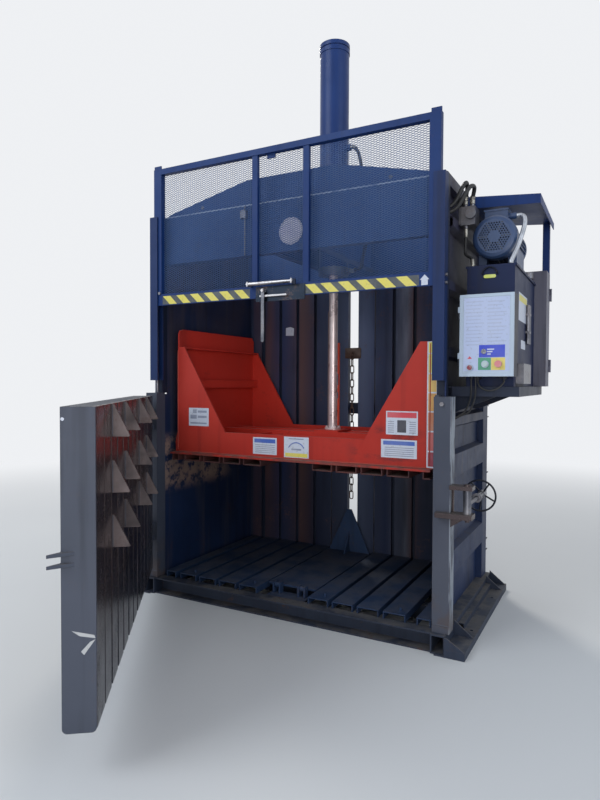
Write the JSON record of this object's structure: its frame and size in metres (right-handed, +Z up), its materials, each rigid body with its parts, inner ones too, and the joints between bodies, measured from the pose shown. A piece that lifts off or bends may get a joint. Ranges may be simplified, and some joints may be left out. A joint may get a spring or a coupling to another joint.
{
  "type": "recycling baler",
  "caption": "Vertical downstroke baler with a hinged bale door, sliding mesh feed gate, winged platen on a hydraulic ram and a side-mounted power unit.",
  "frame": {"origin": "on the ground at the middle of the four anchor holes in the foot channels", "axes": "+X to the machine's right-hand side (power unit), +Y to its back, +Z up"},
  "size_m": [2.455, 2.8555, 3.656],
  "materials": {
    "navy": "dusty navy-blue paint",
    "dark": "dark blue-grey paint, dirty",
    "floor": "scuffed dusty blue-grey paint",
    "orange": "worn orange-red paint with dark smears",
    "rust": "rusty brown worn paint",
    "bare": "worn bare steel",
    "rod": "oiled hard chrome",
    "zinc": "dull zinc",
    "motor": "grey machine paint",
    "plastic": "dark grey plastic",
    "hose": "black hose rubber",
    "panel": "grey enamel with a white panel",
    "green": "green button",
    "red": "faded red button",
    "darkred": "dark red button"
  },
  "bodies": {
    "frame": {"base_frame": "dark", "foot_channels": "dark", "floor_channels": "floor", "door_posts": "floor", "upper_posts": "navy", "rear_posts": "dark", "side_wall_left": "navy", "side_wall_right": "navy", "rear_channels": "navy", "rear_ribs": "dark", "header_plate": "navy", "gable_plates": "navy", "cylinder_beams": "navy", "cylinder_barrel": "dark", "cylinder_gland": "bare", "gate_tracks": "navy", "limit_switch": "zinc", "frame_bolts": "zinc", "hinge_knuckles": "dark", "latch_bracket": "rust", "ejector_lugs": "rust", "ejector_chain": "bare", "power_shelf": "dark", "rain_roof": "navy", "oil_tank": "navy", "tank_fittings": "zinc", "motor": "motor", "fan_cover": "plastic", "pump": "bare", "valve_block": "bare", "hydraulic_hoses": "hose", "electric_cables": "hose", "control_box": "dark", "starter_cabinet": "dark"},
    "gate": {"gate_frame": "navy", "gate_mesh": "navy", "gate_handle": "zinc", "gate_rod": "bare"},
    "pull_bar": {"pull_bar": "bare"},
    "platen": {"platen_base": "orange", "platen_channels": "rust", "platen_rails": "orange", "wing_left": "orange", "wing_right": "orange", "ram_rod": "rod", "indicator_bars": "orange"},
    "door": {"door_frame": "dark", "door_bars": "rust", "retainer_teeth": "rust"},
    "latch_arm": {"latch_arm": "bare"},
    "latch_washer": {"latch_washer": "bare"},
    "handwheel": {"handwheel": "dark", "wheel_hub": "dark"},
    "ejector": {"ejector_plate": "floor"},
    "control_door": {"control_door": "panel"},
    "start_button": {"start_button": "green"},
    "stop_button": {"stop_button": "red"},
    "reset_button": {"reset_button": "darkred"},
    "cabinet_door": {"cabinet_door": "dark"},
    "motor_fan": {"motor_fan": "plastic"}
  },
  "joints": [
    {"name": "door_swing", "type": "hinge", "parent": "frame", "child": "door", "pos_m": [-0.958, -0.592, 0.7], "axis": [0, 0, 1], "range_deg": [-96, 54]},
    {"name": "latch_swing", "type": "hinge", "parent": "frame", "child": "latch_arm", "pos_m": [1.0885, -0.552, 0.77], "axis": [0, 0, 1], "range_deg": [-225, 0]},
    {"name": "nut_travel", "type": "slide", "parent": "latch_arm", "child": "latch_washer", "axis": [0, 1, 0], "range_m": [-0.022, 0]},
    {"name": "wheel_spin", "type": "hinge", "parent": "latch_washer", "child": "handwheel", "pos_m": [1.0885, -0.224, 0.77], "axis": [0, 1, 0], "range_deg": [-1319.9, 0]},
    {"name": "ejector_lift", "type": "hinge", "parent": "frame", "child": "ejector", "pos_m": [0, -0.402, 0.14], "axis": [1, 0, 0], "range_deg": [0, 25]},
    {"name": "platen_travel", "type": "slide", "parent": "frame", "child": "platen", "axis": [0, 0, 1], "range_m": [-0.265, 0.94]},
    {"name": "gate_slide", "type": "slide", "parent": "frame", "child": "gate", "axis": [0, 0, 1], "range_m": [-0.545, 0]},
    {"name": "pull_bar_swing", "type": "hinge", "parent": "gate", "child": "pull_bar", "pos_m": [-0.096, -0.571, 1.912], "axis": [0, 1, 0], "range_deg": [-60, 60]},
    {"name": "control_door_swing", "type": "hinge", "parent": "frame", "child": "control_door", "pos_m": [1.016, -0.464, 1.6], "axis": [0, 0, -1], "range_deg": [0, 110]},
    {"name": "start_button_press", "type": "slide", "parent": "control_door", "child": "start_button", "axis": [0, 1, 0], "range_m": [0, 0.004], "stiffness_N_per_m": 600},
    {"name": "stop_button_press", "type": "slide", "parent": "control_door", "child": "stop_button", "axis": [0, 1, 0], "range_m": [0, 0.004], "stiffness_N_per_m": 800},
    {"name": "reset_button_press", "type": "slide", "parent": "control_door", "child": "reset_button", "axis": [0, 1, 0], "range_m": [0, 0.004], "stiffness_N_per_m": 600},
    {"name": "cabinet_door_swing", "type": "hinge", "parent": "frame", "child": "cabinet_door", "pos_m": [1.3475, 0.576, 1.7], "axis": [0, 0, -1], "range_deg": [0, 110]},
    {"name": "fan_spin", "type": "hinge", "parent": "frame", "child": "motor_fan", "pos_m": [1.1465, -0.212, 2.157], "axis": [0, 1, 0], "continuous": true}
  ],
  "couplings": [
    {"joint": "nut_travel", "follows": "wheel_spin", "m_per_rad": 0.00095493}
  ]
}
